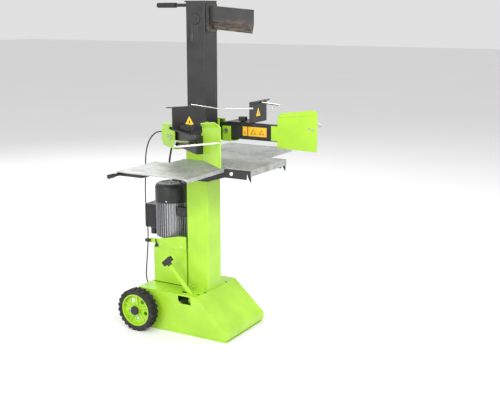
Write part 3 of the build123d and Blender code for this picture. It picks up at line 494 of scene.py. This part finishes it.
# Each printed layer's distance off the surface and its thickness
TRIANGLE_LAYERS = {"edge": (0.05, 0.20), "field": (0.25, 0.08), "mark": (0.33, 0.06)}
PLATE_LAYERS = {"edge": (0.05, 0.18), "field": (0.23, 0.08), "mark": (0.31, 0.06), "hole": (0.37, 0.05)}


def triangle_label(name, place, width, height, body, slot):
    """A plain triangle: black edge, yellow field and a small blank mark, with no lettering."""
    def layer(part, outline, radius, material):
        sticker(f"{name}_{part}", rounded(outline, radius), place, *TRIANGLE_LAYERS[part], material,
                body, slot)

    half = width / 2
    corners = [(-half, 0), (half, 0), (0, height)]
    layer("edge", corners, 5.0, INK)
    middle = Vector((0, height / 3))
    inner = [middle + (Vector(c) - middle) * 0.80 for c in corners]
    layer("field", inner, 3.5, YELLOW)
    slim = height * 0.07
    mark = [(-slim, height * 0.30), (0, height * 0.14), (slim, height * 0.30), (0, height * 0.58)]
    layer("mark", mark, 1.0, INK)


def claw_face(side, face_ahead, out_mid, z_low):
    """A place on the front of a claw's upright plate."""
    sign = 1.0 if side == "near" else -1.0
    return lambda u, v, h: arm_point(side, face_ahead + h, out_mid + sign * u, z_low + v)


NEAR_CLAW_PLATE = claw_face("near", 267.0, 30.0, 978.0)
FAR_CLAW_PLATE = claw_face("far", 340.0, 108.0, 988.0)
triangle_label("near_claw_label", NEAR_CLAW_PLATE, 50.0, 46.0, "near_claw", "green_paint")
triangle_label("far_claw_label", FAR_CLAW_PLATE, 48.0, 48.0, "far_claw", "green_paint")


def arm_face(ahead0, z0):
    """A place on the inner face of the far arm."""
    return lambda u, v, h: arm_point("far", ahead0 + u, ARM_INNER - h, z0 + v)


def arm_label(name, ahead0, width, z0, height, marks):
    """An amber plate with a dark rule round it and plain triangles."""
    place = arm_face(ahead0, z0)
    foot = height * 0.24

    def layer(part, outline, radius, material, number=""):
        sticker(f"{name}_{part}{number}", rounded(outline, radius), place, *PLATE_LAYERS[part], material,
                "far_arm", "black_paint")

    layer("edge", [(0, 0), (width, 0), (width, height), (0, height)], 2.5, INK)
    layer("field", [(1, 1), (width - 1, 1), (width - 1, height - 1), (1, height - 1)], 2.0, AMBER)
    for number, (u, size) in enumerate(marks):
        corners = [(u - size / 2, foot), (u + size / 2, foot), (u, foot + size * 0.8)]
        layer("mark", corners, 2.0, INK, f"_{number}")
        middle = Vector((u, foot + size * 0.27))
        small = [middle + (Vector(c) - middle) * 0.72 for c in corners]
        layer("hole", small, 1.5, AMBER, f"_{number}")


PLATE_LOW = 904.0
PLATE_H = 44.0
arm_label("arm_label_small", 292.0, 26.0, PLATE_LOW, PLATE_H, [(13.0, 14.0)])
arm_label("arm_label_large", 320.0, 97.0, PLATE_LOW, PLATE_H, [(28.0, 28.0), (70.0, 26.0)])


# ---------------------------------------------------------------- welds

WELD_BLACK = weld_metal("painted_weld_black", (0.020, 0.020, 0.020), (0.045, 0.043, 0.040))
WELD_GREEN = weld_metal("painted_weld_green", GREEN, GREEN_DEEP)

WEDGE_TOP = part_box("wedge")[1].z / MM
WEDGE_LOW = WEDGE_TOP - WEDGE_PLATE_H


def ram_bead(name, start, end, radius):
    """A black weld that rides on the ram."""
    bead(name, start, end, radius, WELD_BLACK, "ram")


def root_bead(name, start, end, radius):
    """A green weld on the column."""
    bead(name, start, end, radius, WELD_GREEN, "root")


for sign, side in ((-1, "near"), (1, "far")):
    plate_x, root_x, foot_x, yoke_x = sign * 36.5, sign * 14.5, sign * 57.5, sign * 57
    plate_y, root_y, yoke_y = RAM_FACE - 0.5, -59.5, 58.5
    ram_bead(f"wedge_plate_weld_{side}", (plate_x, plate_y, WEDGE_LOW), (plate_x, plate_y, WEDGE_TOP), 3.2)
    ram_bead(f"wedge_root_weld_{side}", (root_x, root_y, WEDGE_TOP - 70), (root_x, root_y, WEDGE_TOP - 9),
             3.0)
    root_bead(f"column_foot_weld_{side}", (foot_x, -55, FOOT_WELD_Z), (foot_x, 55, FOOT_WELD_Z), 3.0)
    root_bead(f"yoke_weld_{side}", (yoke_x, yoke_y, 887), (yoke_x, yoke_y, 956), 2.4)
top_y, top_z = RAM_FACE - 1.0, WEDGE_TOP + 0.5
ram_bead("wedge_plate_weld_top", (-35, top_y, top_z), (35, top_y, top_z), 3.0)
root_bead("column_foot_weld_front", (-52, -57.5, FOOT_WELD_Z), (52, -57.5, FOOT_WELD_Z), 3.0)
for side in ("near", "far"):
    bead(f"{side}_carrier_weld", arm_point(side, 82, 87, 948), arm_point(side, 108, 87, 948), 2.4, WELD_GREEN,
         f"{side}_carrier")


# ---------------------------------------------------------------- small fittings

def tank_seal():
    """Dark rubber strip in the joint between the tank and the base's top."""
    tank_low, tank_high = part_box("tank_shell")
    x0, x1 = tank_low.x / MM - 1.2, tank_high.x / MM + 1.2
    y0, y1 = tank_low.y / MM + 1.0, tank_high.y / MM + 1.2
    z0 = tank_low.z / MM + 0.2
    outer = rounded([(x0, y0), (x1, y0), (x1, y1), (x0, y1)], 6.0)
    sticker("tank_seal", outer, lambda u, v, h: (u, v, z0 + h), 0.0, 2.6, RUBBER, "root", "rubber")


def bleed_screw():
    """Black thumb screw on a short threaded stem at the tank mount's near rear corner."""
    corner, lean = (-69.5, 224.0, 366.0), math.radians(-8)
    place = Matrix.Translation(corner) @ Matrix.Rotation(lean, 4, "X")
    knob = [(0.5, 0), (7.0, 0), (8.2, 1.5), (8.2, 9), (7.0, 11), (4.2, 12), (3.6, 18), (2.6, 20), (2.6, 36),
            (1.6, 38), (0.4, 38)]
    turned("bleed_screw", knob, place, PLASTIC, "root", "black_plastic", 24)


def foot_plugs():
    """Four dark screw heads on the base's top, either side of the column."""
    disc = [(0.5, 0.0), (5.0, 0.0), (5.0, 1.0), (4.0, 2.0), (1.0, 2.3)]
    for number, (x, y) in enumerate(((-92, 30), (-92, -62), (92, 30), (92, -62)), 1):
        place = Matrix.Translation((x, y, BASE_TOP))
        turned(f"foot_screw_{number}", disc, place, PLASTIC, "root", "black_plastic", 20)


def cap_screws():
    """Three small screws round the motor's fan cover."""
    low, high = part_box("fan_cover")
    centre = (low + high) / 2 / MM
    radius = (high.x - low.x) / 2 / MM
    disc = [(0.4, -0.6), (3.6, -0.6), (3.6, 0.9), (2.6, 1.8), (0.8, 2.0)]
    ring = Vector((centre.x, centre.y, low.z / MM + 9))
    for number in range(3):
        turn = math.radians(75 + 120 * number)
        spot = ring + Vector((math.cos(turn), math.sin(turn), 0)) * radius
        outward = Matrix.Rotation(turn, 4, "Z") @ Matrix.Rotation(math.pi / 2, 4, "Y")
        place = Matrix.Translation(spot) @ outward
        turned(f"cap_screw_{number + 1}", disc, place, ZINC, "root", "zinc_steel", 20)


tank_seal()
bleed_screw()
foot_plugs()
cap_screws()


# ---------------------------------------------------------------- studio

def floor():
    """A wide pale floor, just below the wheels so that nothing flickers."""
    s = Shader("pale_floor")
    pale = (0.86, 0.86, 0.86)
    tone = s.mix(s.span(s.noise(0.7, 3.0), 0.3, 0.7), pale, tuple(c * 0.985 for c in pale))
    half, drop = 30.0, 0.0005
    corners = [(-half, -half, 0), (half, -half, 0), (half, half, 0), (-half, half, 0)]
    mesh = bpy.data.meshes.new("floor")
    mesh.from_pydata(corners, [], [(0, 1, 2, 3)])
    mesh.materials.append(s.finish(tone, 0.7, specular=0.2))
    piece = bpy.data.objects.new("floor", mesh)
    piece.location.z = -drop
    bpy.context.scene.collection.objects.link(piece)


def area_light(name, at, size, energy):
    """A round lamp aimed at the machine's middle: place and size in metres, energy in watts."""
    middle = Vector((0.0, 0.0, 0.8))
    data = bpy.data.lights.new(name, "AREA")
    data.shape = "DISK"
    data.size = size
    data.energy = energy
    lamp = bpy.data.objects.new(name, data)
    lamp.location = at
    lamp.rotation_euler = (middle - Vector(at)).to_track_quat("-Z", "Y").to_euler()
    bpy.context.scene.collection.objects.link(lamp)


def camera():
    """Eye level, 3.84 m from the column, looking over the near side and a little down."""
    pitch = math.radians(12.6)
    across, along = 0.86771, 0.49708
    way = Vector((across * math.cos(pitch), along * math.cos(pitch), -math.sin(pitch)))
    data = bpy.data.cameras.new("camera")
    data.sensor_width = 36.0
    data.lens = 61.2
    eye = bpy.data.objects.new("camera", data)
    eye.location = (-3.2205, -2.0914, 1.460)
    eye.rotation_euler = way.to_track_quat("-Z", "Y").to_euler()
    bpy.context.scene.collection.objects.link(eye)
    bpy.context.scene.camera = eye


floor()
camera()
area_light("key", (-2.6, -3.6, 3.6), 2.4, 190)
area_light("near_fill", (-4.2, 0.6, 2.2), 2.6, 110)
area_light("front_fill", (2.2, -3.8, 2.2), 2.2, 60)
area_light("back", (2.6, 3.2, 3.4), 2.2, 90)

world = bpy.data.worlds.new("studio")
world.use_nodes = True
world.node_tree.nodes["Background"].inputs["Color"].default_value = (1.0, 1.0, 1.0, 1.0)
world.node_tree.nodes["Background"].inputs["Strength"].default_value = 0.75
bpy.context.scene.world = world
bpy.context.scene.view_settings.view_transform = "Standard"
